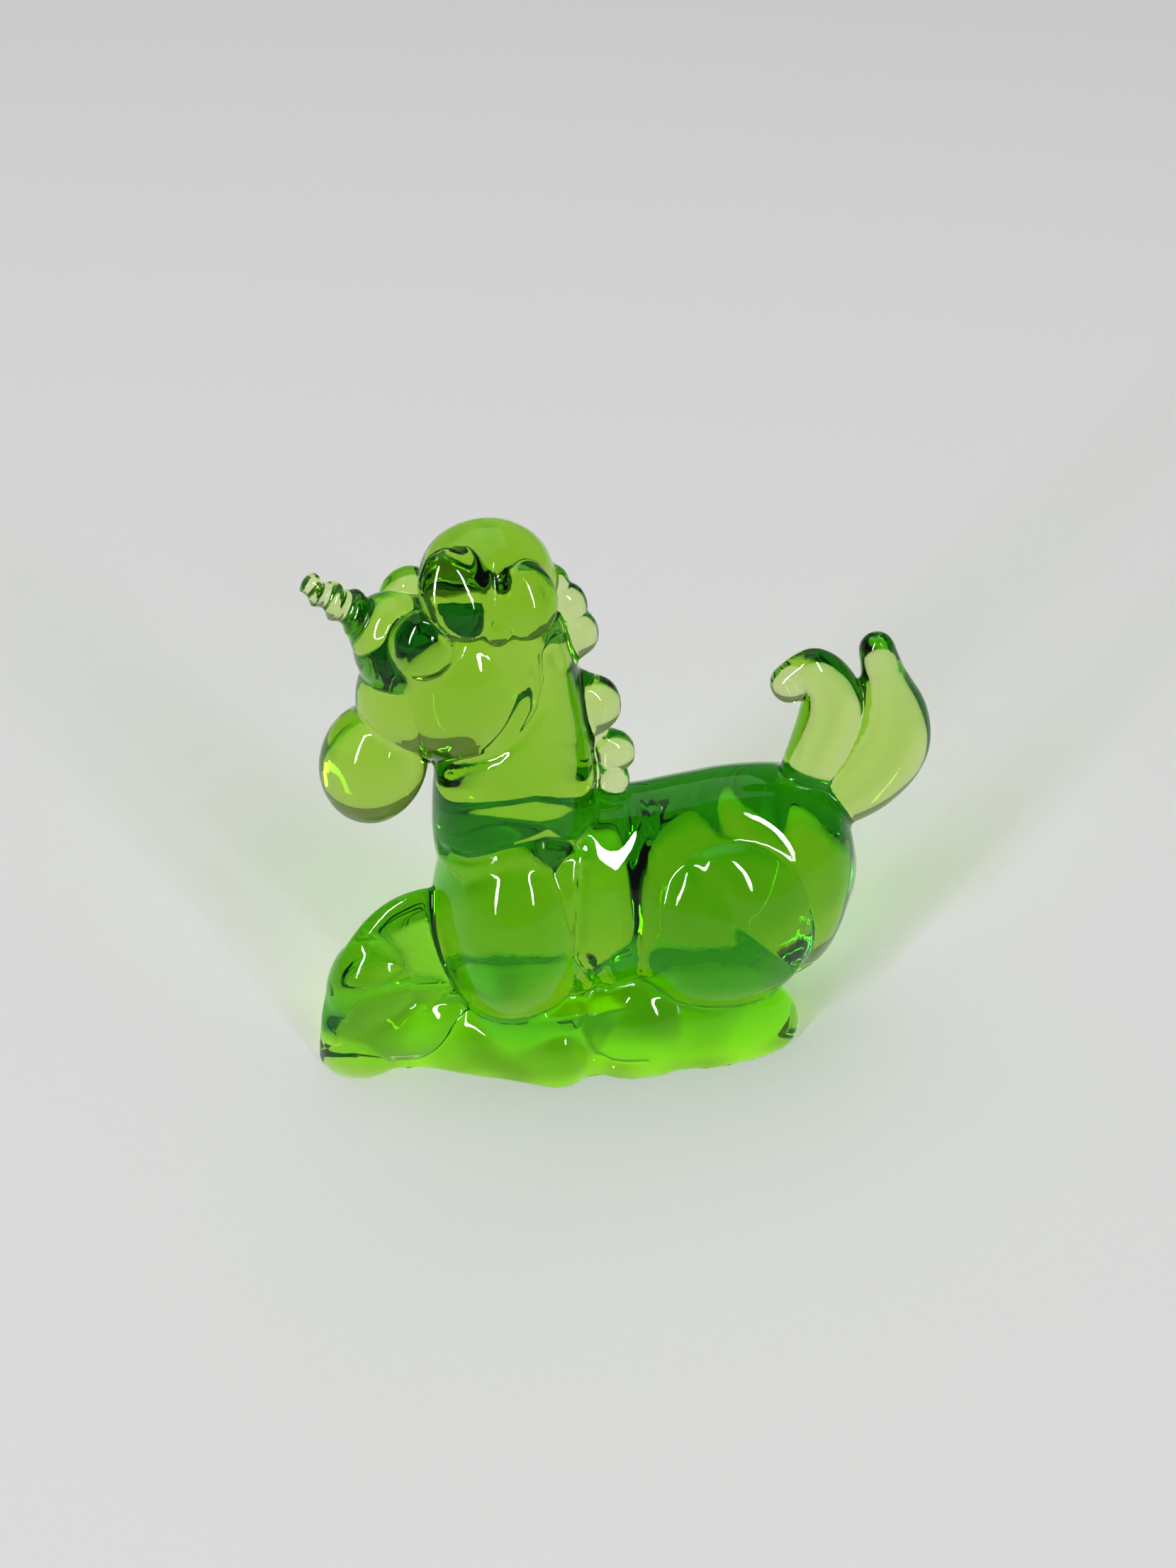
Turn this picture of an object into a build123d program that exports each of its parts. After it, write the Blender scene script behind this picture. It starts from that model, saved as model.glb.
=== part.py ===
from build123d import *
import math
import os

# Unicorn figurine, one casting of clear green glass, lying with its legs folded.
# Lengths are millimetres and angles degrees. The figure faces -X, its left side
# faces -Y, and it stands on the plane Z = 0. Each form below is one solid, and a
# small form is cut by the larger ones that it grows out of.
# Every table of shares has rows of: along, up, wide, deep.

# Trunk, from between the shoulders to the rump
TRUNK_LENGTH = 44.0
TRUNK_DEPTH = 31.0
TRUNK_WIDTH = 23.0
TRUNK_START = -17.0
TRUNK_MIDDLE = 21.6
TRUNK_CAP = 10.0
TRUNK_SHARES = [
    (0.10, 0.025, 0.88, 0.88),
    (0.26, 0.005, 0.90, 0.94),
    (0.42, 0.000, 0.86, 0.92),
    (0.58, 0.000, 0.87, 0.96),
    (0.72, -0.005, 0.92, 0.99),
    (0.86, -0.025, 0.94, 0.98),
]

# Chest with both shoulders
CHEST_LENGTH = 19.6
CHEST_WIDTH = 25.4
CHEST_HEIGHT = 31.0
CHEST_BACK = 3.3
CHEST_DROP = 1.2

# Haunches
HAUNCH_LENGTH = 24.4
HAUNCH_WIDTH = 13.4
HAUNCH_HEIGHT = 25.4
HAUNCH_SPREAD = 7.0
HAUNCH_DROP = 2.4
HAUNCH_SHARE = 0.67

# Neck, from inside the chest to the poll
NECK_HEIGHT = 32.0
NECK_DEPTH = 20.0
NECK_WIDTH = 17.0
NECK_LEAN = 1.5
NECK_BACK = 4.2
NECK_RISE = 8.5
NECK_SHARES = [
    (0.00, 0.00, 1.00, 1.00),
    (0.10, 0.25, 0.92, 0.99),
    (0.10, 0.50, 0.84, 0.93),
    (0.40, 0.75, 0.78, 0.84),
    (1.00, 1.00, 0.72, 0.70),
]

# Head: skull with the cheeks, face, muzzle and brow, set out from the poll
HEAD_LENGTH = 18.6
HEAD_WIDTH = 15.6
HEAD_HEIGHT = 21.2
HEAD_FORWARD = 4.7
HEAD_DROP = 7.8
FACE_LENGTH = 11.6
FACE_WIDTH = 12.0
FACE_HEIGHT = 14.6
FACE_FORWARD = 11.2
FACE_DROP = 9.4
MUZZLE_LENGTH = 12.8
MUZZLE_WIDTH = 11.8
MUZZLE_HEIGHT = 15.4
MUZZLE_FORWARD = 15.4
MUZZLE_DROP = 17.8
MUZZLE_TILT = 14.0
BROW_LENGTH = 12.2
BROW_WIDTH = 13.4
BROW_HEIGHT = 11.6
BROW_FORWARD = 10.8
BROW_DROP = 2.6

# Eyes
EYE_LENGTH = 7.6
EYE_WIDTH = 6.4
EYE_HEIGHT = 8.4
EYE_SPREAD = 5.4
EYE_FORWARD = 9.4
EYE_RISE = 0.3

# Horn: a boss and a tapering cone that winds round its own axis
BOSS_DIAMETER = 9.0
BOSS_FORWARD = 12.8
BOSS_RISE = -0.4
HORN_LENGTH = 10.6
HORN_BASE_DIAMETER = 6.9
HORN_TIP_DIAMETER = 3.5
HORN_WIND = 0.4
HORN_TURNS = 4
HORN_STEPS = 8
HORN_LEAN = -52.0

# Poll dome, and the side locks and curls of the forelock, swept to the left
POLL_LENGTH = 15.6
POLL_WIDTH = 14.0
POLL_HEIGHT = 13.8
POLL_FORWARD = 1.2
POLL_RISE = 5.0
LOCK_ROLL = 24.0
SIDE_LOCK_LENGTH = 8.4
SIDE_LOCK_WIDTH = 5.0
SIDE_LOCK_HEIGHT = 11.4
SIDE_LOCK_SPREAD = 5.8
SIDE_LOCK_FORWARD = 5.4
SIDE_LOCK_SWEEP = 3.8
SIDE_LOCK_RISE = 6.4
SIDE_LOCK_TILT = -20.0
CURL_LENGTH = 7.8
CURL_WIDTH = 5.2
CURL_HEIGHT = 9.0
CURL_SPREAD = 6.2
CURL_BACK = 1.9
CURL_RISE = 5.0
FAR_SINK = 1.8
MIDDLE_LENGTH = 5.6
MIDDLE_WIDTH = 4.4
MIDDLE_HEIGHT = 10.2
MIDDLE_SPREAD = 6.2
MIDDLE_FORWARD = 1.4
MIDDLE_RISE = 5.2

# Mane: locks that stand one above the other on the crest of the neck
LOCK_WIDTH = 4.6
LOCK_DEPTH = 5.4
LOCK_HEIGHT = 7.6
LOCK_CAP = 1.6
LOCK_SHARES = [
    (-0.25, 0.32, 0.75, 0.62),
    (0.00, 0.12, 1.00, 0.95),
    (0.05, -0.12, 0.96, 0.95),
    (-0.12, -0.32, 0.70, 0.62),
]
# rows: back from the poll, down from the poll, size
LOCK_PLACE_SHARES = [
    (0.30, -0.11, 0.80),
    (0.39, -0.02, 0.90),
    (0.44, 0.10, 1.00),
    (0.55, 0.41, 1.20),
    (0.68, 0.63, 0.92),
    (0.67, 0.75, 0.78),
]

# Tail: a front lock that curls over and a rear lock with an upright tip
TAIL_HEIGHT = 24.0
TAIL_REACH = 17.0
TAIL_WIDTH = 7.0
TAIL_DEPTH = 13.0
TAIL_CAP = 2.4
TAIL_BACK = 39.6
TAIL_RISE = 9.6
REAR_SHARES = [
    (0.10, -0.04, 0.85, 0.60),
    (0.46, 0.08, 1.00, 0.78),
    (0.68, 0.30, 1.00, 0.92),
    (0.69, 0.54, 0.90, 0.68),
    (0.62, 0.74, 0.76, 0.42),
    (0.56, 0.88, 0.64, 0.35),
]
FRONT_SHARES = [
    (0.07, 0.10, 0.80, 0.52),
    (0.17, 0.32, 0.90, 0.60),
    (0.25, 0.54, 0.90, 0.64),
    (0.19, 0.71, 0.80, 0.54),
    (0.03, 0.79, 0.70, 0.46),
    (-0.08, 0.735, 0.62, 0.40),
]

# Hind legs, folded along the ground
HIND_LENGTH = 23.6
HIND_WIDTH = 9.4
HIND_DEPTH = 18.0
HIND_SPREAD = 7.6
HIND_MIDDLE = 2.8
HIND_BACK = 27.8
HOOF_LENGTH = 14.4
HOOF_WIDTH = 9.4
HOOF_DEPTH = 18.8
HOOF_FORWARD = 9.2
HOOF_SPREAD = 7.9
HOOF_MIDDLE = 3.0

# Forelegs: forearms that meet at the knees, and shanks folded back along the ground
FOREARM_LENGTH = 29.6
FOREARM_WIDTH = 8.4
FOREARM_DEPTH = 50.0
FOREARM_FORWARD = 7.2
KNEE_LENGTH = 11.0
KNEE_WIDTH = 10.4
KNEE_DEPTH = 13.0
KNEE_FORWARD = 16.4
KNEE_MIDDLE = 2.4
SHANK_LENGTH = 21.0
SHANK_OUT = 8.6
SHANK_WIDTH = 8.8
SHANK_DEPTH = 13.0
SHANK_MIDDLE = 2.4
SHANK_FORWARD = 11.0
SHANK_SPREAD = 0.2
SHANK_CAP = 3.4
SHANK_SHARES = [
    (0.00, 0.00, 0.90, 0.84),
    (0.33, 0.00, 0.94, 0.88),
    (0.67, 0.00, 1.00, 0.98),
    (0.90, 0.00, 0.96, 1.00),
]

# Web of glass that fills the space between the folded legs
WEB_LENGTH = 42.0
WEB_WIDTH = 21.0
WEB_HEIGHT = 10.5
WEB_FORWARD = 4.0

# A full turn, and the quarter turn of each arc that a section is drawn with
TURN = 360
QUARTER = 90

# Angles at which a rounded end is cut into sections
CAP_ANGLES = (22.5, 45.0, 67.5)


def oval(wide, deep):
    """A flat oval drawn as four quarter arcs."""
    arcs = []
    for start in range(0, TURN, QUARTER):
        arcs.append(EllipticalCenterArc((0, 0), wide / 2, deep / 2, start, arc_size=QUARTER))
    return make_face(arcs)


def section(centre, tangent, wide, deep):
    """One oval square to the centre line: wide along Y, deep in side view."""
    return Plane(origin=centre, x_dir=(0, 1, 0), z_dir=tangent) * oval(wide, deep)


def rounded_end(centre, tangent, way, sizes, cap):
    """Sections that close an end like half an egg, and the point that ends them."""
    if not cap:
        return []
    wide, deep = sizes
    slices = []
    for angle in CAP_ANGLES:
        shrink = math.cos(math.radians(angle))
        place = centre + tangent * (way * cap * math.sin(math.radians(angle)))
        slices.append(section(place, tangent, wide * shrink, deep * shrink))
    return slices + [Vertex(*(centre + tangent * (way * cap)))]


def limb(start, run, width, depth, shares, cap=0):
    """A swelling bar lofted through ellipses, with flat ends or with rounded ones."""
    centres = []
    sizes = []
    for along, up, wide, deep in shares:
        centres.append(start + Vector(run.X * along, run.Y * along, run.Z * up))
        sizes.append((width * wide, depth * deep))
    slices = []
    tangents = []
    for index, centre in enumerate(centres):
        behind = centres[max(index - 1, 0)]
        ahead = centres[min(index + 1, len(centres) - 1)]
        tangents.append(Vector(ahead.X - behind.X, 0, ahead.Z - behind.Z).normalized())
        slices.append(section(centre, tangents[index], *sizes[index]))
    first = rounded_end(centres[0], tangents[0], -1, sizes[0], cap)
    last = rounded_end(centres[-1], tangents[-1], 1, sizes[-1], cap)
    return loft(first[::-1] + slices + last)


def egg(centre, sizes, tilt=0, roll=0):
    """A rounded mass of a length, width and height, tilted in side view and rolled sideways."""
    length, wide, deep = sizes
    middle = Vector(0, 0, 0)
    along = Vector(1, 0, 0)
    front = rounded_end(middle, along, -1, (wide, deep), length / 2)
    back = rounded_end(middle, along, 1, (wide, deep), length / 2)
    ball = loft(front[::-1] + [section(middle, along, wide, deep)] + back)
    return Pos(*centre) * Rot(roll, tilt, 0) * ball


def trunk():
    start = Vector(TRUNK_START, 0, TRUNK_MIDDLE)
    run = Vector(TRUNK_LENGTH, 0, TRUNK_DEPTH)
    return limb(start, run, TRUNK_WIDTH, TRUNK_DEPTH, TRUNK_SHARES, TRUNK_CAP)


def chest():
    centre = (TRUNK_START + CHEST_BACK, 0, TRUNK_MIDDLE - CHEST_DROP)
    return egg(centre, (CHEST_LENGTH, CHEST_WIDTH, CHEST_HEIGHT))


def haunch(side):
    across = TRUNK_START + TRUNK_LENGTH * HAUNCH_SHARE
    centre = (across, side * HAUNCH_SPREAD, TRUNK_MIDDLE - HAUNCH_DROP)
    return egg(centre, (HAUNCH_LENGTH, HAUNCH_WIDTH, HAUNCH_HEIGHT))


NECK_ROOT = Vector(TRUNK_START + NECK_BACK, 0, TRUNK_MIDDLE + NECK_RISE)
NECK_RUN = Vector(-NECK_LEAN, 0, NECK_HEIGHT)
POLL = NECK_ROOT + NECK_RUN


def neck():
    return limb(NECK_ROOT, NECK_RUN, NECK_WIDTH, NECK_DEPTH, NECK_SHARES)


def from_poll(forward, rise, across=0):
    """A place on the head, set out from the poll."""
    return (POLL.X - forward, across, POLL.Z + rise)


def head():
    return egg(from_poll(HEAD_FORWARD, -HEAD_DROP), (HEAD_LENGTH, HEAD_WIDTH, HEAD_HEIGHT))


def face():
    return egg(from_poll(FACE_FORWARD, -FACE_DROP), (FACE_LENGTH, FACE_WIDTH, FACE_HEIGHT))


def muzzle():
    centre = from_poll(MUZZLE_FORWARD, -MUZZLE_DROP)
    return egg(centre, (MUZZLE_LENGTH, MUZZLE_WIDTH, MUZZLE_HEIGHT), MUZZLE_TILT)


def brow():
    return egg(from_poll(BROW_FORWARD, -BROW_DROP), (BROW_LENGTH, BROW_WIDTH, BROW_HEIGHT))


def eye(side):
    centre = from_poll(EYE_FORWARD, EYE_RISE, side * EYE_SPREAD)
    return egg(centre, (EYE_LENGTH, EYE_WIDTH, EYE_HEIGHT))


def horn_boss():
    centre = from_poll(BOSS_FORWARD, BOSS_RISE)
    return egg(centre, (BOSS_DIAMETER, BOSS_DIAMETER, BOSS_DIAMETER))


def horn():
    """A cone of slices whose centres wind round its axis, which makes the spiral."""
    slices = []
    steps = HORN_TURNS * HORN_STEPS
    for step in range(steps + 1):
        share = step / steps
        diameter = HORN_BASE_DIAMETER * (1 - share) + HORN_TIP_DIAMETER * share
        turn = math.radians(step * TURN / HORN_STEPS)
        off_axis = Pos(HORN_WIND * math.cos(turn), HORN_WIND * math.sin(turn), HORN_LENGTH * share)
        slices.append(off_axis * oval(diameter - HORN_WIND * 2, diameter - HORN_WIND * 2))
    tip = Vertex(HORN_WIND, 0, HORN_LENGTH + HORN_TIP_DIAMETER / 3)
    lean = Pos(*from_poll(BOSS_FORWARD, BOSS_RISE)) * Rot(0, HORN_LEAN, 0)
    return lean * loft(slices + [tip])


def poll():
    return egg(from_poll(POLL_FORWARD, POLL_RISE), (POLL_LENGTH, POLL_WIDTH, POLL_HEIGHT))


def side_lock(side):
    far = max(side, 0)
    forward = SIDE_LOCK_FORWARD - SIDE_LOCK_SWEEP * far
    rise = SIDE_LOCK_RISE - FAR_SINK * far
    centre = from_poll(forward, rise, side * SIDE_LOCK_SPREAD)
    sizes = (SIDE_LOCK_LENGTH, SIDE_LOCK_WIDTH, SIDE_LOCK_HEIGHT)
    return egg(centre, sizes, SIDE_LOCK_TILT, LOCK_ROLL * side)


def forelock_curl(side):
    rise = CURL_RISE - FAR_SINK * max(side, 0)
    centre = from_poll(-CURL_BACK, rise, side * CURL_SPREAD)
    return egg(centre, (CURL_LENGTH, CURL_WIDTH, CURL_HEIGHT), 0, LOCK_ROLL * side)


def middle_lock():
    """The lock between the side lock and the curl, on the left side alone."""
    centre = from_poll(MIDDLE_FORWARD, MIDDLE_RISE, -MIDDLE_SPREAD)
    return egg(centre, (MIDDLE_LENGTH, MIDDLE_WIDTH, MIDDLE_HEIGHT), 0, -LOCK_ROLL)


def mane_lock(back, down, size):
    start = Vector(POLL.X + NECK_DEPTH * back, 0, POLL.Z - NECK_HEIGHT * down)
    run = Vector(LOCK_DEPTH * size, 0, LOCK_HEIGHT * size)
    width = LOCK_WIDTH * size
    return limb(start, run, width, LOCK_DEPTH * size, LOCK_SHARES, LOCK_CAP * size)


def tail_lock(shares):
    root = Vector(TRUNK_START + TAIL_BACK, 0, TRUNK_MIDDLE + TAIL_RISE)
    run = Vector(TAIL_REACH, 0, TAIL_HEIGHT)
    return limb(root, run, TAIL_WIDTH, TAIL_DEPTH, shares, TAIL_CAP)


def hind_leg(side):
    centre = (TRUNK_START + HIND_BACK, side * HIND_SPREAD, HIND_MIDDLE)
    return egg(centre, (HIND_LENGTH, HIND_WIDTH, HIND_DEPTH))


def hind_hoof(side):
    centre = (TRUNK_START + HIND_BACK - HOOF_FORWARD, side * HOOF_SPREAD, HOOF_MIDDLE)
    return egg(centre, (HOOF_LENGTH, HOOF_WIDTH, HOOF_DEPTH))


def forearms():
    centre = (TRUNK_START - FOREARM_FORWARD, 0, 0)
    return egg(centre, (FOREARM_LENGTH, FOREARM_WIDTH, FOREARM_DEPTH))


def knees():
    centre = (TRUNK_START - KNEE_FORWARD, 0, KNEE_MIDDLE)
    return egg(centre, (KNEE_LENGTH, KNEE_WIDTH, KNEE_DEPTH))


def shank(side):
    start = Vector(TRUNK_START - SHANK_FORWARD, side * SHANK_SPREAD, SHANK_MIDDLE)
    run = Vector(SHANK_LENGTH, side * SHANK_OUT, 0)
    return limb(start, run, SHANK_WIDTH, SHANK_DEPTH, SHANK_SHARES, SHANK_CAP)


def belly_web():
    middle = TRUNK_START - WEB_FORWARD + WEB_LENGTH / 2
    return extrude(Pos(middle, 0) * SlotOverall(WEB_LENGTH, WEB_WIDTH), WEB_HEIGHT)


def ground():
    """The block below the figure, which cuts every foot flat."""
    size = TRUNK_LENGTH * 2
    return Box(size, size, size, align=(Align.CENTER, Align.CENTER, Align.MAX))


def forms():
    """Every form, the larger first: each is later cut by those before it."""
    yield "trunk", trunk()
    yield "chest", chest()
    yield "haunch_left", haunch(-1)
    yield "haunch_right", haunch(1)
    yield "head", head()
    yield "neck", neck()
    yield "poll", poll()
    yield "forearms", forearms()
    yield "muzzle", muzzle()
    yield "tail_rear_lock", tail_lock(REAR_SHARES)
    yield "hind_leg_left", hind_leg(-1)
    yield "hind_leg_right", hind_leg(1)
    yield "hind_hoof_left", hind_hoof(-1)
    yield "hind_hoof_right", hind_hoof(1)
    yield "foreleg_left", shank(-1)
    yield "foreleg_right", shank(1)
    yield "knees", knees()
    yield "belly_web", belly_web()
    yield "brow", brow()
    yield "face", face()
    yield "tail_front_lock", tail_lock(FRONT_SHARES)
    yield "horn_boss", horn_boss()
    yield "horn", horn()
    yield "side_lock_left", side_lock(-1)
    yield "side_lock_right", side_lock(1)
    yield "eye_left", eye(-1)
    yield "eye_right", eye(1)
    yield "forelock_curl_left", forelock_curl(-1)
    yield "forelock_curl_right", forelock_curl(1)
    yield "middle_lock", middle_lock()
    for number, place in enumerate(LOCK_PLACE_SHARES, start=1):
        yield f"mane_lock_{number}", mane_lock(*place)


def meets(one, other):
    """Whether two bounding boxes share any space."""
    return (
        one.min.X < other.max.X
        and other.min.X < one.max.X
        and one.min.Y < other.max.Y
        and other.min.Y < one.max.Y
        and one.min.Z < other.max.Z
        and other.min.Z < one.max.Z
    )


def seated(whole, box, larger):
    """What is left of a form once each larger form that it grows out of is cut away."""
    piece = whole
    for other, other_box in larger:
        if meets(box, other_box):
            left = piece.cut(other).solids()
            piece = max(left, key=lambda solid: solid.volume)
    return piece


def main():
    os.makedirs("parts", exist_ok=True)
    below = ground()
    larger = [(below, below.bounding_box())]
    pieces = []
    for name, form in forms():
        whole = form.solids()[0]
        box = whole.bounding_box()
        pieces.append((name, seated(whole, box, larger)))
        larger.append((whole, box))
    front = min(box.min.X for form, box in larger[1:])
    back = max(box.max.X for form, box in larger[1:])
    for name, piece in pieces:
        export_step(Pos(-(front + back) / 2, 0, 0) * piece, f"parts/{name}.step")


main()
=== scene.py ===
import math

import bpy
from mathutils import Matrix, Vector


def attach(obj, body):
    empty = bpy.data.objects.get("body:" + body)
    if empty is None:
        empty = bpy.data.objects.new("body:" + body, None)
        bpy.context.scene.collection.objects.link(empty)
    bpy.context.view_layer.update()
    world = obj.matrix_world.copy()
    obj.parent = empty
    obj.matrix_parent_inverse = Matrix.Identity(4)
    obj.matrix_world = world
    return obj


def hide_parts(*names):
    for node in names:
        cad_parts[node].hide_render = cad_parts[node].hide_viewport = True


bl_info = {
    "name": "Glass unicorn",
    "version": (1, 0, 0),
    "blender": (4, 5, 0),
    "location": "View3D > Sidebar > Glass unicorn",
    "description": "A lying unicorn of clear green glass, on pale paper in a soft light",
    "category": "Object",
}

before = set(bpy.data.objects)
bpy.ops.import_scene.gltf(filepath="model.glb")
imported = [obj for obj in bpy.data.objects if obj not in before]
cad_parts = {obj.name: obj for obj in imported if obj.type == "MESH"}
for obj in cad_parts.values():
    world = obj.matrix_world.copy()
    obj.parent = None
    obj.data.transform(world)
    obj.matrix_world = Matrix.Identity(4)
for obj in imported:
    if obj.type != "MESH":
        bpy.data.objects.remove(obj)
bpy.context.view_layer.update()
MM = 0.001

# The photograph's frame and the camera. The angles were picked by comparing
# landmarks at a few angles. The distance was chosen. The scale, in pixels for each
# metre, goes with a length of the figure that is a guess. CAMERA_AIM shows on
# CAMERA_PIXEL.
PHOTO_WIDTH = 1659
PHOTO_HEIGHT = 2212
CAMERA_AZIMUTH = math.radians(-12)
CAMERA_ELEVATION = math.radians(33)
CAMERA_DISTANCE = 260 * MM
CAMERA_SCALE = 11.45 / MM
CAMERA_AIM = Vector((-0.55 * MM, 0, 34.5 * MM))
CAMERA_PIXEL = (871, 1132)

# How far in from the side the creases are pressed, and how many half widths of a
# crease are still part of it.
CREASE_INNER = 2
CREASE_REACH = 3

# Each smoothing step's share, and the steps that round off a place.
SMOOTH_SHARE = 0.5
SOFT_TIMES = 60

# The height in millimetres at which the uneven waves begin, and over which they grow.
WAVE_START = 0.5
WAVE_FADE = 3

# Fewer faces than this would mean that the skin closed on nothing.
LEAST_FACES = 1000

# The strip lamps: name, azimuth and elevation in degrees, distance, width and length
# in metres, and the share of the lamp power.
STRIP_LAMPS = (
    ("strip_lamp_left", -46, 32, 3, (0.13, 3), 1),
    ("strip_lamp_right", 24, 34, 3, (0.1, 2.6), 0.65),
)

# The bright cards that show in the glass in place of the strip lamps, in the same
# order: name, azimuth and elevation, distance, width and length.
TUBES = (
    ("glare_left", -46, 34, 2.9, (0.22, 2.3)),
    ("glare_right", 24, 34, 2.9, (0.17, 2.0)),
)

# How bright the room is at the horizon, and higher up than this height.
HORIZON = (0.42, 0.43, 0.42, 1)
OVERHEAD = (0.3, 0.3, 0.3, 1)
OVERHEAD_HEIGHT = 0.9

# Half the length and width of the pool of green light painted on the paper under the
# figure, and its shift as a share of that width.
POOL_LENGTH = 40 * MM
POOL_WIDTH = 20 * MM
POOL_SHIFT = -0.25

# The large soft panel overhead, as a strip lamp is given, but without a name or share.
CEILING = (190, 72, 2.6, (2.6, 2.6))

# The glass: its own colour, the share of real glass's mirror that it keeps face on,
# what a straight ray to a lamp keeps, and how fine its ripple and its smears are.
GLASS_BASE = (0.97, 1.0, 0.93, 1)
GLASS_MIRROR = (0.42, 0.5, 0.4, 1)
GLASS_SHADOW = (0.79, 0.81, 0.78, 1)
RIPPLE_SCALE = 130
SMEAR_SCALE = 190
SMEAR_ROUGHNESS = 0.012

# The paper: its surface, its grain, and how dark it looks between the fibres.
PAPER_SIZE = 3
PAPER_ROUGHNESS = 0.75
PAPER_SHINE = 0.2
GRAIN_SCALE = 900
GRAIN_HEIGHT = 0.00003
GRAIN_DARK = 0.985

# The paper seen straight through the glass: its plain tone as a share of its colour,
# the share of the painted pool of green light inside its oval, where the oval fades out,
# and the size, spread and tones of the brighter and darker spots painted into that light.
PLAIN_TONE = 0.88
POOL_SHARE = 0.85
POOL_FADE = (1.25, 0.8)
LIGHT_MOTTLE_SCALE = 90
LIGHT_MOTTLE_SPREAD = (0.35, 0.65)
LIGHT_MOTTLE_TONES = (0.6, 1.35)

# The faces round and along an egg-shaped fill, and how near two points are one.
FILL_SEGMENTS = 96
FILL_RINGS = 64
WELD = 0.000001

# The camera's film in millimetres, and what it sees from and to in metres.
FILM = 36
NEAREST = 0.01
FARTHEST = 10

# Where every lamp points.
AIM = Vector((0, 0, 30 * MM))

# The fuller flesh between the forms, each with its middle and its half sizes in
# millimetres.
FILLS = (
    ("cap", (-15.8, 1.4, 67.0), (7.4, 8.2, 5.6)),
    ("knee", (-31.5, 0, 9.5), (6.6, 5.0, 9.3)),
    ("forearm", (-28.0, 0, 6.0), (11.0, 6.0, 5.9)),
)

# Where the step between two forms is rounded off: the middle and the half sizes of
# the place, seen from the side, and how far from the middle of the body it begins.
SOFT_PLACES = (
    ("haunch step", (1.8, 19.5), (3, 11), 5),
    ("forelock top", (-19.5, 71.0), (5.5, 3.4), 3),
    ("toe", (-36.5, 5.0), (4, 5), 1),
)

# The creases pressed into the sides, each with its depth, its half width and the
# points it runs through, all in millimetres along the figure and upwards.
CREASES = (
    (
        "hoof edge",
        0.7,
        0.7,
        (
            (-4.2, 11.6),
            (-6.2, 10.4),
            (-7.2, 7.8),
            (-6.9, 5.2),
            (-5.7, 3.1),
            (-3.8, 2.4),
            (0.5, 2.5),
        ),
    ),
    ("forelock parting", 0.35, 0.5, ((-16.1, 71.2), (-16.2, 69.0), (-16.5, 65.8))),
    (
        "jaw edge",
        0.7,
        0.8,
        (
            (-22.2, 44.2),
            (-20.4, 45.6),
            (-16.8, 47.1),
            (-13.6, 49.3),
            (-11.3, 52.5),
            (-10.3, 56.4),
            (-10.4, 59.4),
        ),
    ),
    (
        "collar edge",
        0.55,
        0.8,
        ((-22.4, 32.4), (-20.5, 32.6), (-15.8, 34.8), (-10.9, 35.6), (-6.6, 33.1)),
    ),
    ("waist edge", 0.4, 0.6, ((-6.6, 31.0), (-7.4, 24.9), (-7.9, 19.2), (-4.6, 11.4))),
    ("haunch fold", 0.35, 1.3, ((7.5, 29.5), (11.0, 25.2), (15.3, 19.6), (19.2, 14.5))),
)


class GlassSettings(bpy.types.PropertyGroup):
    tint: bpy.props.FloatVectorProperty(
        name="Glass colour",
        description="What a few millimetres of the glass let through",
        subtype="COLOR",
        size=3,
        min=0,
        max=1,
        default=(0.73, 0.9, 0.12),
    )
    depth: bpy.props.FloatProperty(
        name="Depth of colour",
        description="How strongly the glass takes light away, for each metre",
        default=250,
    )
    ior: bpy.props.FloatProperty(
        name="Bending",
        description="Index of refraction of the glass",
        default=1.5,
    )
    ripple: bpy.props.FloatProperty(
        name="Ripple",
        description="Height of the soft waves in the surface",
        subtype="DISTANCE",
        unit="LENGTH",
        default=0.00004,
    )


class CastSettings(bpy.types.PropertyGroup):
    grain: bpy.props.FloatProperty(
        name="Mesh size",
        description="Width of the faces that the body is made of",
        subtype="DISTANCE",
        unit="LENGTH",
        default=0.0004,
    )
    softness: bpy.props.IntProperty(
        name="Softness",
        description="How often the creases between the forms are smoothed",
        default=4,
    )
    wave_height: bpy.props.FloatProperty(
        name="Wave height",
        description="Height of the uneven waves in the form",
        subtype="DISTANCE",
        unit="LENGTH",
        default=0.0003,
    )
    wave_length: bpy.props.FloatProperty(
        name="Wave length",
        description="Width of those waves",
        subtype="DISTANCE",
        unit="LENGTH",
        default=0.01,
    )


class StageSettings(bpy.types.PropertyGroup):
    paper: bpy.props.FloatVectorProperty(
        name="Paper colour",
        description="The pale paper that the figure lies on",
        subtype="COLOR",
        size=3,
        min=0,
        max=1,
        default=(0.79, 0.795, 0.79),
    )
    pool: bpy.props.FloatVectorProperty(
        name="Light under the glass",
        description="Colour painted on the paper for light come down through the glass",
        subtype="COLOR",
        size=3,
        min=0,
        max=1,
        default=(0.26, 0.66, 0.01),
    )
    glow: bpy.props.FloatProperty(
        name="Paper behind glass",
        description="Share of the paper's own plain tone that is seen through the glass",
        default=0.22,
    )
    room: bpy.props.FloatProperty(
        name="Room light",
        description="Strength of the light that comes from all round",
        default=0.55,
    )
    lamps: bpy.props.FloatProperty(
        name="Lamp light",
        description="Power of the left strip lamp",
        subtype="POWER",
        unit="POWER",
        default=54.0,
    )
    glare: bpy.props.FloatProperty(
        name="Lamp glare",
        description="How bright the cards in place of the lamps look in the glass",
        default=110.0,
    )
    ceiling: bpy.props.FloatProperty(
        name="Ceiling light",
        description="Power of the large soft panel overhead",
        subtype="POWER",
        unit="POWER",
        default=21.0,
    )


def settings():
    return bpy.context.scene.glass_unicorn


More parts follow.
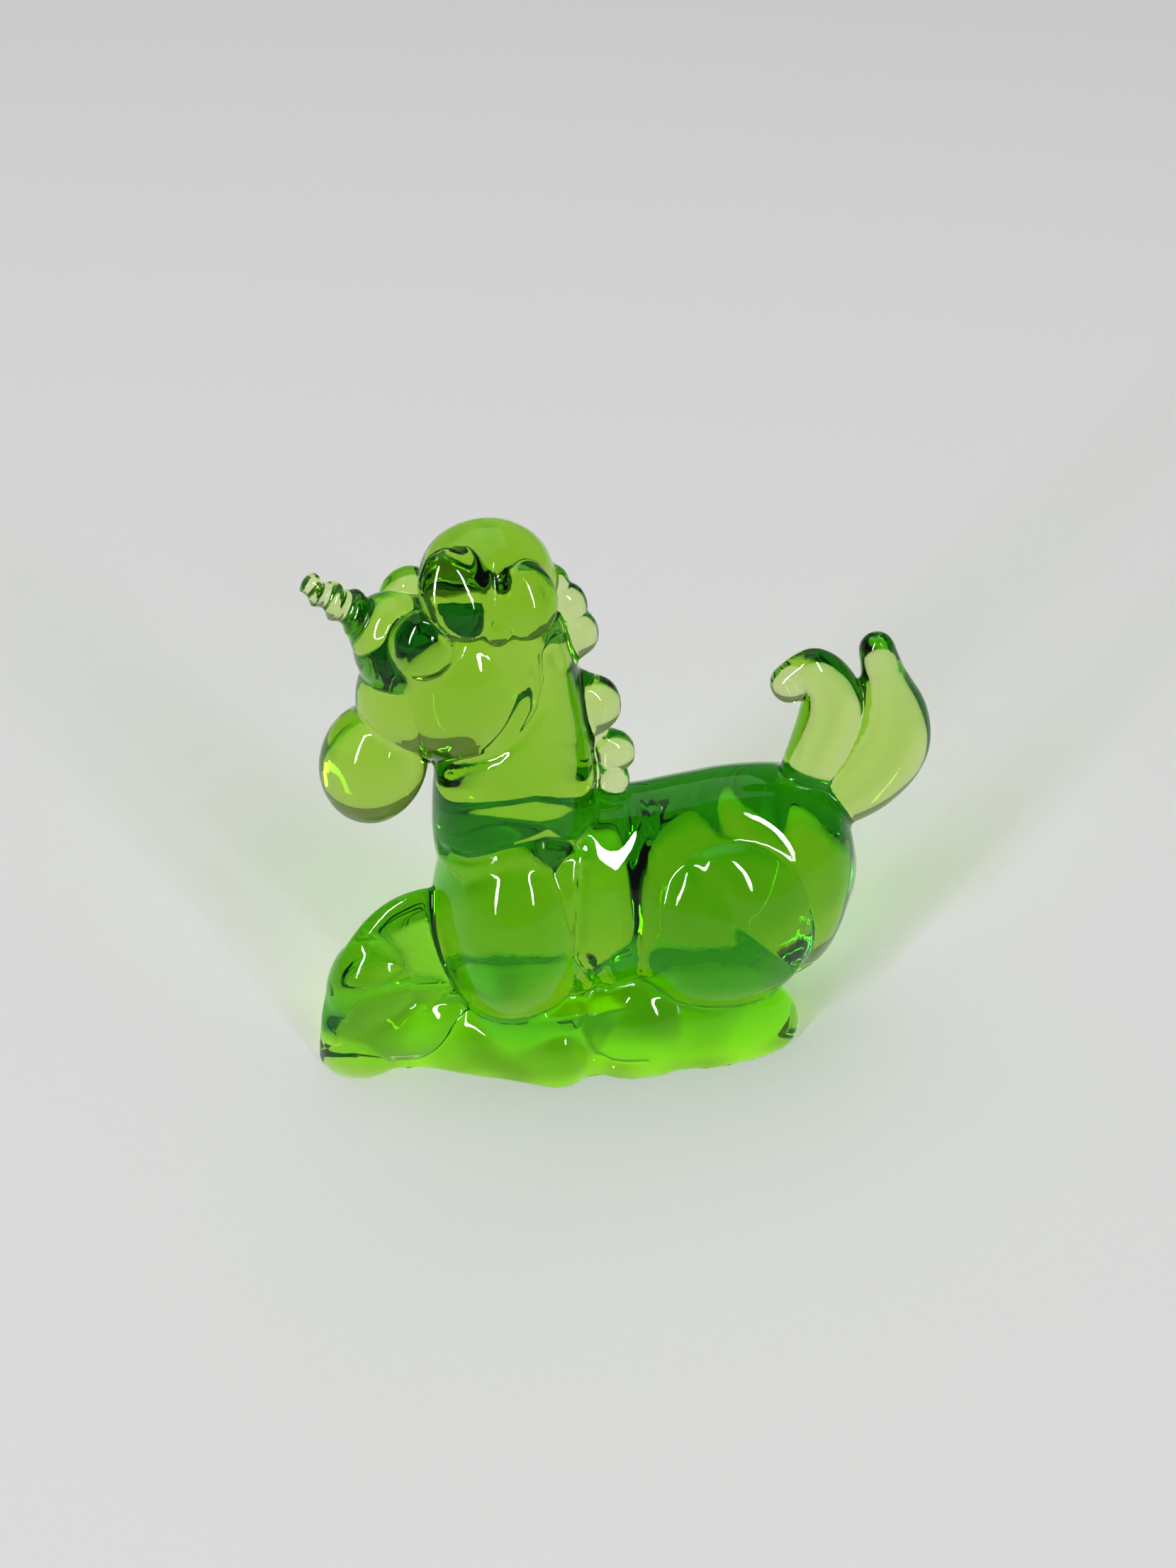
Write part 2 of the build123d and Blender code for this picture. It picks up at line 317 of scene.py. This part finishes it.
class UnicornSettings(bpy.types.PropertyGroup):
    glass: bpy.props.PointerProperty(type=GlassSettings)
    cast: bpy.props.PointerProperty(type=CastSettings)
    stage: bpy.props.PointerProperty(type=StageSettings)


def deselect_all():
    bpy.ops.object.select_all(action="DESELECT")


def only(piece):
    """Leaves one object selected and active."""
    deselect_all()
    piece.select_set(True)
    bpy.context.view_layer.objects.active = piece


def apply_modifiers(piece):
    only(piece)
    for modifier in list(piece.modifiers):
        bpy.ops.object.modifier_apply(modifier=modifier.name)


def apply_place(piece):
    """Moves the piece's place, turn and size into its mesh."""
    only(piece)
    bpy.ops.object.transform_apply(location=True, rotation=True, scale=True)


def joined(pieces):
    """Makes one object of several."""
    deselect_all()
    for piece in pieces:
        piece.select_set(True)
    bpy.context.view_layer.objects.active = pieces[0]
    bpy.ops.object.join()
    return bpy.context.active_object


def keep_largest_shell(piece):
    """Deletes every shell of the mesh but the one with the most vertices."""
    only(piece)
    shells = []
    mesh = piece.data
    seen = [False] * len(mesh.vertices)
    near = [[] for vertex in mesh.vertices]
    for edge in mesh.edges:
        one, other = edge.vertices
        near[one].append(other)
        near[other].append(one)
    for first in range(len(seen)):
        if seen[first]:
            continue
        shell = [first]
        seen[first] = True
        for vertex in shell:
            for other in near[vertex]:
                if not seen[other]:
                    seen[other] = True
                    shell.append(other)
        shells.append(shell)
    shells.sort(key=len)
    bpy.ops.object.mode_set(mode="EDIT")
    bpy.ops.mesh.select_mode(type="VERT")
    bpy.ops.mesh.select_all(action="DESELECT")
    bpy.ops.object.mode_set(mode="OBJECT")
    for shell in shells[:-1]:
        for vertex in shell:
            mesh.vertices[vertex].select = True
    bpy.ops.object.mode_set(mode="EDIT")
    bpy.ops.mesh.delete(type="VERT")
    bpy.ops.object.mode_set(mode="OBJECT")


def soften_places(piece):
    """Rounds off the steps between some of the forms, on both sides."""
    for name, middle, sizes, inner in SOFT_PLACES:
        group = piece.vertex_groups.new(name=name)
        for vertex in piece.data.vertices:
            x = (vertex.co.x / MM - middle[0]) / sizes[0]
            z = (vertex.co.z / MM - middle[1]) / sizes[1]
            weight = 1 - x * x - z * z
            if weight > 0 and abs(vertex.co.y) > inner * MM:
                group.add([vertex.index], min(weight * 2, 1), "REPLACE")
        soft = piece.modifiers.new(name, "SMOOTH")
        soft.factor = SMOOTH_SHARE
        soft.iterations = SOFT_TIMES
        soft.vertex_group = name
        apply_modifiers(piece)
    piece.vertex_groups.clear()


def press_waves(piece, height, length):
    """Uneven waves in the surface, which fade out towards the flat underside."""
    above = piece.vertex_groups.new(name="above the paper")
    for vertex in piece.data.vertices:
        weight = (vertex.co.z / MM - WAVE_START) / WAVE_FADE
        above.add([vertex.index], min(max(weight, 0), 1), "REPLACE")
    clouds = bpy.data.textures.new("press waves", "CLOUDS")
    clouds.noise_scale = length
    clouds.noise_depth = 1
    waves = piece.modifiers.new("Press the waves", "DISPLACE")
    waves.texture = clouds
    waves.strength = height
    waves.mid_level = 0.5
    waves.vertex_group = above.name
    apply_modifiers(piece)
    piece.vertex_groups.clear()


def near_line(x, z, points):
    """How far a place on the side is from a line through some points."""
    least = math.inf
    for one, other in zip(points, points[1:]):
        run = other[0] - one[0]
        rise = other[1] - one[1]
        share = ((x - one[0]) * run + (z - one[1]) * rise) / (run * run + rise * rise)
        share = min(max(share, 0), 1)
        least = min(least, math.hypot(x - one[0] - share * run, z - one[1] - share * rise))
    return least


def press_creases(piece):
    """Presses the soft grooves between the parts of the body into both sides."""
    for name, depth, half, points in CREASES:
        reach = half * CREASE_REACH
        left = min(x for x, z in points) - reach
        right = max(x for x, z in points) + reach
        low = min(z for x, z in points) - reach
        high = max(z for x, z in points) + reach
        group = piece.vertex_groups.new(name=name)
        for vertex in piece.data.vertices:
            x = vertex.co.x / MM
            z = vertex.co.z / MM
            outer = abs(vertex.co.y) > CREASE_INNER * MM
            if outer and left < x < right and low < z < high:
                weight = math.exp(-((near_line(x, z, points) / half) ** 2))
                group.add([vertex.index], weight, "REPLACE")
        press = piece.modifiers.new(name, "DISPLACE")
        press.strength = -depth * MM
        press.mid_level = 0
        press.vertex_group = name
        apply_modifiers(piece)
    piece.vertex_groups.clear()


def glass_ripple_group():
    """Soft waves and faint smears of a polished glass surface."""
    name = "Polished glass surface"
    if name in bpy.data.node_groups:
        return bpy.data.node_groups[name]
    group = bpy.data.node_groups.new(name, "ShaderNodeTree")
    face = group.interface
    face.new_socket("Wave size", in_out="INPUT", socket_type="NodeSocketFloat")
    face.new_socket("Smear size", in_out="INPUT", socket_type="NodeSocketFloat")
    face.new_socket("Gloss", in_out="INPUT", socket_type="NodeSocketFloat")
    face.new_socket("Smear", in_out="INPUT", socket_type="NodeSocketFloat")
    face.new_socket("Height", in_out="OUTPUT", socket_type="NodeSocketFloat")
    face.new_socket("Roughness", in_out="OUTPUT", socket_type="NodeSocketFloat")
    nodes = group.nodes
    links = group.links
    given = nodes.new("NodeGroupInput")
    result = nodes.new("NodeGroupOutput")
    place = nodes.new("ShaderNodeTexCoord")
    waves = nodes.new("ShaderNodeTexNoise")
    waves.inputs["Detail"].default_value = 1.5
    waves.inputs["Roughness"].default_value = 0.35
    smears = nodes.new("ShaderNodeTexNoise")
    smears.inputs["Detail"].default_value = 4
    smears.inputs["Distortion"].default_value = 1.2
    spread = nodes.new("ShaderNodeMapRange")
    spread.inputs["From Min"].default_value = 0.5
    spread.inputs["From Max"].default_value = 0.75
    links.new(place.outputs["Object"], waves.inputs["Vector"])
    links.new(place.outputs["Object"], smears.inputs["Vector"])
    links.new(given.outputs["Wave size"], waves.inputs["Scale"])
    links.new(given.outputs["Smear size"], smears.inputs["Scale"])
    links.new(smears.outputs["Fac"], spread.inputs["Value"])
    links.new(given.outputs["Gloss"], spread.inputs["To Min"])
    links.new(given.outputs["Smear"], spread.inputs["To Max"])
    links.new(waves.outputs["Fac"], result.inputs["Height"])
    links.new(spread.outputs["Result"], result.inputs["Roughness"])
    return group


def green_glass():
    """Clear green glass with a weak mirror, and a plain tint for the light of the lamps."""
    name = "Clear green glass"
    if name in bpy.data.materials:
        return bpy.data.materials[name]
    glass = settings().glass
    material = bpy.data.materials.new(name)
    material.use_nodes = True
    nodes = material.node_tree.nodes
    links = material.node_tree.links
    shader = nodes["Principled BSDF"]
    output = nodes["Material Output"]
    shader.inputs["Base Color"].default_value = GLASS_BASE
    shader.inputs["Transmission Weight"].default_value = 1
    shader.inputs["IOR"].default_value = glass.ior
    shader.inputs["Specular Tint"].default_value = GLASS_MIRROR
    surface = nodes.new("ShaderNodeGroup")
    surface.node_tree = glass_ripple_group()
    surface.inputs["Wave size"].default_value = RIPPLE_SCALE
    surface.inputs["Smear size"].default_value = SMEAR_SCALE
    surface.inputs["Gloss"].default_value = 0.0
    surface.inputs["Smear"].default_value = SMEAR_ROUGHNESS
    bump = nodes.new("ShaderNodeBump")
    bump.inputs["Distance"].default_value = glass.ripple
    bump.inputs["Strength"].default_value = 1
    links.new(surface.outputs["Height"], bump.inputs["Height"])
    links.new(bump.outputs["Normal"], shader.inputs["Normal"])
    links.new(surface.outputs["Roughness"], shader.inputs["Roughness"])
    inside = nodes.new("ShaderNodeVolumeAbsorption")
    inside.inputs["Color"].default_value = (*glass.tint, 1)
    inside.inputs["Density"].default_value = glass.depth
    links.new(inside.outputs["Volume"], output.inputs["Volume"])
    path = nodes.new("ShaderNodeLightPath")
    clear = nodes.new("ShaderNodeBsdfTransparent")
    clear.inputs["Color"].default_value = GLASS_SHADOW
    choice = nodes.new("ShaderNodeMixShader")
    links.new(path.outputs["Is Shadow Ray"], choice.inputs["Fac"])
    links.new(shader.outputs["BSDF"], choice.inputs[1])
    links.new(clear.outputs["BSDF"], choice.inputs[2])
    links.new(choice.outputs["Shader"], output.inputs["Surface"])
    return material


def painted_light_pool_group():
    """Painted green that stands in for light come down through the glass on to paper, with
    brighter and darker spots painted into that light.
    """
    group = bpy.data.node_groups.new("Light under the glass", "ShaderNodeTree")
    face = group.interface
    face.new_socket("Outside", in_out="INPUT", socket_type="NodeSocketFloat")
    face.new_socket("Inside", in_out="INPUT", socket_type="NodeSocketFloat")
    face.new_socket("Paper", in_out="INPUT", socket_type="NodeSocketColor")
    face.new_socket("Pool", in_out="INPUT", socket_type="NodeSocketColor")
    face.new_socket("Share", in_out="OUTPUT", socket_type="NodeSocketFloat")
    face.new_socket("Tone", in_out="OUTPUT", socket_type="NodeSocketColor")
    nodes = group.nodes
    links = group.links
    given = nodes.new("NodeGroupInput")
    result = nodes.new("NodeGroupOutput")
    place = nodes.new("ShaderNodeTexCoord")
    sized = nodes.new("ShaderNodeMapping")
    sized.inputs["Location"].default_value = (0, POOL_SHIFT, 0)
    sized.inputs["Scale"].default_value = (1 / POOL_LENGTH, 1 / POOL_WIDTH, 0)
    reach = nodes.new("ShaderNodeVectorMath")
    reach.operation = "LENGTH"
    spread = nodes.new("ShaderNodeMapRange")
    spread.interpolation_type = "SMOOTHSTEP"
    spread.inputs["From Min"].default_value = POOL_FADE[0]
    spread.inputs["From Max"].default_value = POOL_FADE[1]
    # Painted light: soft spots where the painted pool is brighter or darker, as light
    # focused by glass would fall.
    light_mottle = nodes.new("ShaderNodeTexNoise")
    light_mottle.inputs["Scale"].default_value = LIGHT_MOTTLE_SCALE
    light_mottle.inputs["Detail"].default_value = 1
    bright = nodes.new("ShaderNodeMapRange")
    bright.inputs["From Min"].default_value = LIGHT_MOTTLE_SPREAD[0]
    bright.inputs["From Max"].default_value = LIGHT_MOTTLE_SPREAD[1]
    bright.inputs["To Min"].default_value = LIGHT_MOTTLE_TONES[0]
    bright.inputs["To Max"].default_value = LIGHT_MOTTLE_TONES[1]
    lit = nodes.new("ShaderNodeVectorMath")
    lit.operation = "SCALE"
    tone = nodes.new("ShaderNodeMix")
    tone.data_type = "RGBA"
    share = nodes.new("ShaderNodeMix")
    links.new(place.outputs["Object"], sized.inputs["Vector"])
    links.new(sized.outputs["Vector"], reach.inputs[0])
    links.new(reach.outputs["Value"], spread.inputs["Value"])
    links.new(place.outputs["Object"], light_mottle.inputs["Vector"])
    links.new(light_mottle.outputs["Fac"], bright.inputs["Value"])
    links.new(given.outputs["Pool"], lit.inputs[0])
    links.new(bright.outputs["Result"], lit.inputs["Scale"])
    links.new(spread.outputs["Result"], tone.inputs[0])
    links.new(given.outputs["Paper"], tone.inputs[6])
    links.new(lit.outputs["Vector"], tone.inputs[7])
    links.new(spread.outputs["Result"], share.inputs[0])
    links.new(given.outputs["Outside"], share.inputs[2])
    links.new(given.outputs["Inside"], share.inputs[3])
    links.new(tone.outputs[2], result.inputs["Tone"])
    links.new(share.outputs[0], result.inputs["Share"])
    return group


def paper_white():
    """Pale smooth paper with a faint grain. Seen through the glass it glows in a plain
    tone, with a painted pool of green light under the figure.
    """
    stage = settings().stage
    material = bpy.data.materials.new("Pale paper")
    material.use_nodes = True
    nodes = material.node_tree.nodes
    links = material.node_tree.links
    shader = nodes["Principled BSDF"]
    shader.inputs["Roughness"].default_value = PAPER_ROUGHNESS
    shader.inputs["Specular IOR Level"].default_value = PAPER_SHINE
    place = nodes.new("ShaderNodeTexCoord")
    grain = nodes.new("ShaderNodeTexNoise")
    grain.inputs["Scale"].default_value = GRAIN_SCALE
    grain.inputs["Detail"].default_value = 4
    tone = nodes.new("ShaderNodeMix")
    tone.data_type = "RGBA"
    tone.inputs[6].default_value = (*[part * GRAIN_DARK for part in stage.paper], 1)
    tone.inputs[7].default_value = (*stage.paper, 1)
    bump = nodes.new("ShaderNodeBump")
    bump.inputs["Distance"].default_value = GRAIN_HEIGHT
    links.new(place.outputs["Object"], grain.inputs["Vector"])
    links.new(grain.outputs["Fac"], tone.inputs[0])
    links.new(tone.outputs[2], shader.inputs["Base Color"])
    links.new(grain.outputs["Fac"], bump.inputs["Height"])
    links.new(bump.outputs["Normal"], shader.inputs["Normal"])
    # Rays that come straight through the glass see the paper glow evenly, and under the
    # figure they see a painted pool of green light.
    path = nodes.new("ShaderNodeLightPath")
    under = nodes.new("ShaderNodeGroup")
    under.node_tree = painted_light_pool_group()
    under.inputs["Outside"].default_value = stage.glow
    under.inputs["Inside"].default_value = POOL_SHARE
    under.inputs["Paper"].default_value = (*[part * PLAIN_TONE for part in stage.paper], 1)
    under.inputs["Pool"].default_value = (*stage.pool, 1)
    share = nodes.new("ShaderNodeMath")
    share.operation = "MULTIPLY"
    seen = nodes.new("ShaderNodeEmission")
    choice = nodes.new("ShaderNodeMixShader")
    links.new(under.outputs["Tone"], seen.inputs["Color"])
    links.new(under.outputs["Share"], share.inputs[1])
    straight = nodes.new("ShaderNodeMath")
    straight.operation = "LESS_THAN"
    straight.inputs[1].default_value = 0.5
    through = nodes.new("ShaderNodeMath")
    through.operation = "MULTIPLY"
    links.new(path.outputs["Diffuse Depth"], straight.inputs[0])
    links.new(path.outputs["Is Transmission Ray"], through.inputs[0])
    links.new(straight.outputs["Value"], through.inputs[1])
    links.new(through.outputs["Value"], share.inputs[0])
    links.new(share.outputs["Value"], choice.inputs["Fac"])
    links.new(shader.outputs["BSDF"], choice.inputs[1])
    links.new(seen.outputs["Emission"], choice.inputs[2])
    links.new(choice.outputs["Shader"], nodes["Material Output"].inputs["Surface"])
    return material


def lamp_glare():
    """Light that only glossy rays see."""
    name = "Lamp glare"
    if name in bpy.data.materials:
        return bpy.data.materials[name]
    material = bpy.data.materials.new(name)
    material.use_nodes = True
    nodes = material.node_tree.nodes
    links = material.node_tree.links
    nodes.remove(nodes["Principled BSDF"])
    path = nodes.new("ShaderNodeLightPath")
    clear = nodes.new("ShaderNodeBsdfTransparent")
    bright = nodes.new("ShaderNodeEmission")
    bright.inputs["Strength"].default_value = settings().stage.glare
    choice = nodes.new("ShaderNodeMixShader")
    links.new(path.outputs["Is Glossy Ray"], choice.inputs["Fac"])
    links.new(clear.outputs["BSDF"], choice.inputs[1])
    links.new(bright.outputs["Emission"], choice.inputs[2])
    links.new(choice.outputs["Shader"], nodes["Material Output"].inputs["Surface"])
    return material


def direction(azimuth, elevation):
    """The way from the figure to a place round and above it."""
    turn = math.radians(azimuth)
    rise = math.radians(elevation)
    flat = math.cos(rise)
    return Vector((math.sin(turn) * flat, -math.cos(turn) * flat, math.sin(rise)))


class GLASSUNICORN_OT_body(bpy.types.Operator):
    """Casts the whole figure as one closed skin of glass over the frame's forms"""

    bl_idname = "glass_unicorn.body"
    bl_label = "Cast the figure"

    def execute(self, context):
        cast = settings().cast
        copies = []
        for name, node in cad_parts.items():
            copy = bpy.data.objects.new(name + "_form", node.data.copy())
            copy.data.materials.clear()
            bpy.context.scene.collection.objects.link(copy)
            copies.append(copy)
        copies += [self.fill(*fill) for fill in FILLS]
        body = joined(copies)
        body.name = "glass_body"
        bpy.ops.object.mode_set(mode="EDIT")
        bpy.ops.mesh.select_all(action="SELECT")
        bpy.ops.mesh.remove_doubles(threshold=WELD)
        bpy.ops.object.mode_set(mode="OBJECT")
        remesh = body.modifiers.new("Close the skin", "REMESH")
        remesh.mode = "VOXEL"
        remesh.voxel_size = cast.grain
        smooth = body.modifiers.new("Soften the creases", "SMOOTH")
        smooth.factor = SMOOTH_SHARE
        smooth.iterations = cast.softness
        apply_modifiers(body)
        keep_largest_shell(body)
        soften_places(body)
        press_creases(body)
        press_waves(body, cast.wave_height, cast.wave_length)
        if len(body.data.polygons) < LEAST_FACES:
            raise RuntimeError("the skin closed on nothing")
        body.data.polygons.foreach_set("use_smooth", [True] * len(body.data.polygons))
        body.data.materials.append(green_glass())
        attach(body, "root")
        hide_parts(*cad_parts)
        print("glass_body", len(body.data.polygons), "faces")
        return {"FINISHED"}

    def fill(self, name, middle, sizes):
        """One egg-shaped fill."""
        deselect_all()
        bpy.ops.mesh.primitive_uv_sphere_add(
            segments=FILL_SEGMENTS, ring_count=FILL_RINGS, radius=MM
        )
        fill = bpy.context.active_object
        fill.name = name + "_fill"
        fill.location = [part * MM for part in middle]
        fill.scale = sizes
        apply_place(fill)
        return fill


class GLASSUNICORN_OT_stage(bpy.types.Operator):
    """Lays the paper, hangs the lamps and sets up the camera"""

    bl_idname = "glass_unicorn.stage"
    bl_label = "Set the stage"

    def execute(self, context):
        stage = settings().stage
        deselect_all()
        bpy.ops.mesh.primitive_plane_add(size=PAPER_SIZE, location=(0, 0, 0))
        paper = bpy.context.active_object
        paper.name = "paper"
        paper.data.materials.append(paper_white())
        for name, azimuth, elevation, distance, size, share in STRIP_LAMPS:
            self.lamp(name, azimuth, elevation, distance, size, stage.lamps * share)
        for tube in TUBES:
            self.card(*tube)
        self.lamp("ceiling_panel", *CEILING, stage.ceiling)
        self.world(stage.room)
        self.camera()
        return {"FINISHED"}

    def card(self, name, azimuth, elevation, distance, size):
        """A bright card that only glossy rays see, and that stands in for a lamp."""
        way = direction(azimuth, elevation)
        bpy.ops.mesh.primitive_plane_add(size=1, location=AIM + way * distance)
        card = bpy.context.active_object
        card.name = name
        card.scale = (*size, 1)
        card.rotation_mode = "QUATERNION"
        card.rotation_quaternion = way.to_track_quat("Z", "Y")
        apply_place(card)
        card.data.materials.append(lamp_glare())

    def lamp(self, name, azimuth, elevation, distance, size, power):
        """One lamp that hangs round the figure and points at it."""
        way = direction(azimuth, elevation)
        bpy.ops.object.light_add(type="AREA", location=AIM + way * distance)
        lamp = bpy.context.active_object
        lamp.name = name
        lamp.data.shape = "RECTANGLE"
        lamp.data.size = size[0]
        lamp.data.size_y = size[1]
        lamp.data.energy = power
        lamp.rotation_mode = "QUATERNION"
        lamp.rotation_quaternion = way.to_track_quat("Z", "Y")

    def world(self, strength):
        """An even dim room, a little brighter at the horizon than overhead."""
        world = bpy.data.worlds.new("Pale room")
        bpy.context.scene.world = world
        world.use_nodes = True
        nodes = world.node_tree.nodes
        links = world.node_tree.links
        background = nodes["Background"]
        background.inputs["Strength"].default_value = strength
        place = nodes.new("ShaderNodeTexCoord")
        parts = nodes.new("ShaderNodeSeparateXYZ")
        ramp = nodes.new("ShaderNodeValToRGB")
        low, high = ramp.color_ramp.elements
        low.color = HORIZON
        high.position = OVERHEAD_HEIGHT
        high.color = OVERHEAD
        links.new(place.outputs["Generated"], parts.inputs["Vector"])
        links.new(parts.outputs["Z"], ramp.inputs["Fac"])
        links.new(ramp.outputs["Color"], background.inputs["Color"])

    def camera(self):
        """The camera at the angles picked above, with the picture's long side up."""
        flat = math.cos(CAMERA_ELEVATION)
        sine = math.sin(CAMERA_AZIMUTH)
        cosine = math.cos(CAMERA_AZIMUTH)
        back = Vector((sine * flat, -cosine * flat, math.sin(CAMERA_ELEVATION)))
        right = Vector((cosine, sine, 0))
        up = back.cross(right)
        focal = CAMERA_SCALE * CAMERA_DISTANCE
        across = (CAMERA_PIXEL[0] - PHOTO_WIDTH / 2) / focal * CAMERA_DISTANCE
        down = (CAMERA_PIXEL[1] - PHOTO_HEIGHT / 2) / focal * CAMERA_DISTANCE
        bpy.ops.object.camera_add()
        camera = bpy.context.active_object
        camera.location = CAMERA_AIM + back * CAMERA_DISTANCE - right * across + up * down
        turn = Matrix((right, up, back)).transposed()
        camera.rotation_mode = "QUATERNION"
        camera.rotation_quaternion = turn.to_quaternion()
        camera.data.sensor_width = FILM
        camera.data.lens = focal / PHOTO_HEIGHT * FILM
        camera.data.clip_start = NEAREST
        camera.data.clip_end = FARTHEST
        bpy.context.scene.camera = camera


class GLASSUNICORN_PT_panel(bpy.types.Panel):
    bl_label = "Glass unicorn"
    bl_idname = "GLASSUNICORN_PT_panel"
    bl_space_type = "VIEW_3D"
    bl_region_type = "UI"
    bl_category = "Glass unicorn"

    def draw(self, context):
        layout = self.layout
        values = context.scene.glass_unicorn
        for group in (values.glass, values.cast, values.stage):
            box = layout.box()
            for name in group.__annotations__:
                box.prop(group, name)
        for operator in OPERATORS:
            layout.operator(operator.bl_idname)


OPERATORS = (
    GLASSUNICORN_OT_body,
    GLASSUNICORN_OT_stage,
)
CLASSES = (
    GlassSettings,
    CastSettings,
    StageSettings,
    UnicornSettings,
    *OPERATORS,
    GLASSUNICORN_PT_panel,
)


def register():
    for kind in CLASSES:
        bpy.utils.register_class(kind)
    bpy.types.Scene.glass_unicorn = bpy.props.PointerProperty(type=UnicornSettings)


def unregister():
    del bpy.types.Scene.glass_unicorn
    for kind in reversed(CLASSES):
        bpy.utils.unregister_class(kind)


def main():
    register()
    bpy.context.scene.view_settings.view_transform = "Standard"
    bpy.ops.glass_unicorn.body()
    bpy.ops.glass_unicorn.stage()


if __name__ == "__main__":
    main()
